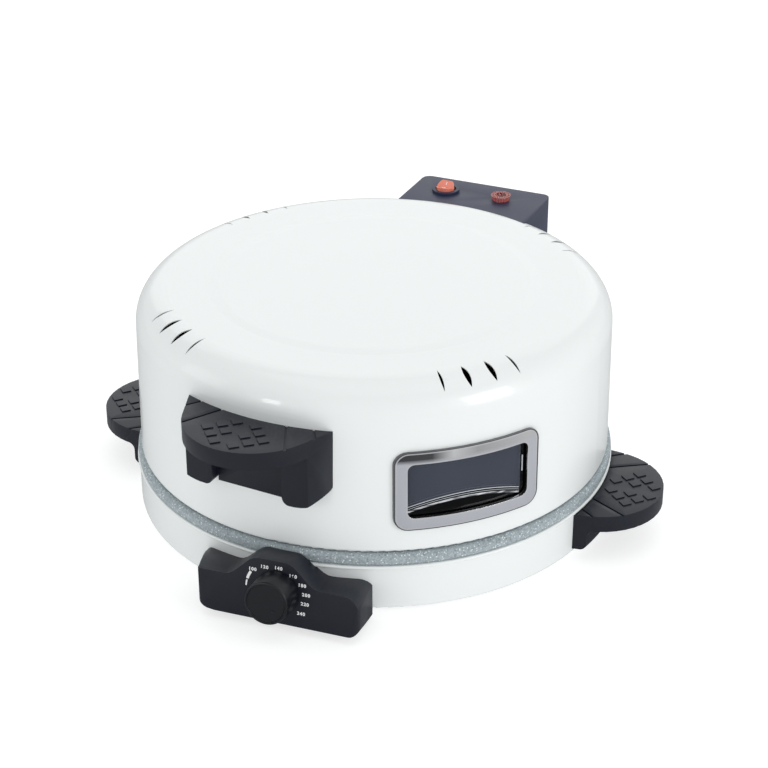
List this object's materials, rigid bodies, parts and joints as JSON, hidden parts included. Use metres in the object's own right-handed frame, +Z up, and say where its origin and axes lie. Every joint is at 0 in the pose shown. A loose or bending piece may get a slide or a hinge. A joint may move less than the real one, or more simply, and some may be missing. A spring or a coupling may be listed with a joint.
{
  "type": "electric pizza maker",
  "caption": "Round countertop pizza cooker: domed white lid hinged at the back, with window and handle, over a low base with side grips and a dial.",
  "frame": {"origin": "on the table, at the middle of the footprint", "axes": "+X to the cooker's right, -Y out of its front, +Z up"},
  "size_m": [0.5378, 0.5202, 0.2188],
  "materials": {
    "white_enamel": "glossy white enamel on pressed sheet steel",
    "granite_coating": "speckled blue-grey non-stick coating on cast aluminium, satin",
    "charcoal_plastic": "fine satin texture",
    "slate_plastic": "fine satin texture",
    "black_plastic": "semi-gloss",
    "red_plastic": "translucent red, gloss",
    "red_lens": "translucent dark red, gloss",
    "polished_steel": "polished stainless steel",
    "bright_sheet": "bright aluminised sheet",
    "zinc_sheet": "dull zinc plating",
    "cast_alloy": "die-cast, tumbled",
    "element_tube": "dark oxidised steel tube",
    "oven_glass": "smooth, lightly smoked tempered glass",
    "ceramic": "glazed ceramic and thermoset",
    "black_rubber": "matte"
  },
  "bodies": {
    "base": {"base_shell": "white_enamel", "bottom_plate": "zinc_sheet", "feet": "black_rubber", "foot_screws": "zinc_sheet", "baking_plate": "granite_coating", "lower_reflector": "bright_sheet", "reflector_spacers": "bright_sheet", "lower_element": "element_tube", "lower_clips": "bright_sheet", "side_grip_right": "charcoal_plastic", "side_grip_left": "charcoal_plastic", "grip_screws": "zinc_sheet", "control_panel": "charcoal_plastic", "panel_screws": "zinc_sheet", "thermostat": "ceramic", "base_hinge_bracket": "cast_alloy", "bracket_screws": "zinc_sheet", "hinge_pin": "polished_steel", "terminal_block": "ceramic", "cord_bush": "black_rubber"},
    "lid": {"lid_shell": "white_enamel", "lid_liner": "bright_sheet", "upper_element": "element_tube", "upper_clips": "bright_sheet", "window_frame": "polished_steel", "window_gasket": "black_rubber", "window_glass": "oven_glass", "window_retainer": "bright_sheet", "lid_handle": "charcoal_plastic", "handle_screws": "zinc_sheet", "lid_hinge_block": "cast_alloy", "hinge_block_screws": "zinc_sheet", "rear_box": "slate_plastic", "rear_cover": "slate_plastic", "rear_cover_screws": "zinc_sheet", "switch_housing": "black_plastic", "pilot_holder": "black_plastic", "pilot_lens": "red_lens", "box_terminals": "ceramic"},
    "knob": {"knob": "black_plastic", "thermostat_spindle": "bright_sheet"},
    "rocker": {"switch_rocker": "red_plastic"}
  },
  "joints": [
    {"name": "lid_hinge", "type": "hinge", "parent": "base", "child": "lid", "pos_m": [0.0105, 0.23621, 0.0553], "axis": [-1, 0, 0], "range_deg": [0, 100]},
    {"name": "thermostat_knob", "type": "hinge", "parent": "base", "child": "knob", "pos_m": [0.02072, -0.23401, 0.03583], "axis": [0.0742, -0.9875, 0.1392], "range_deg": [0, 238]},
    {"name": "switch_rocker", "type": "hinge", "parent": "lid", "child": "rocker", "pos_m": [-0.0215, 0.22621, 0.2079], "axis": [-1, 0, 0], "range_deg": [0, 26]}
  ]
}
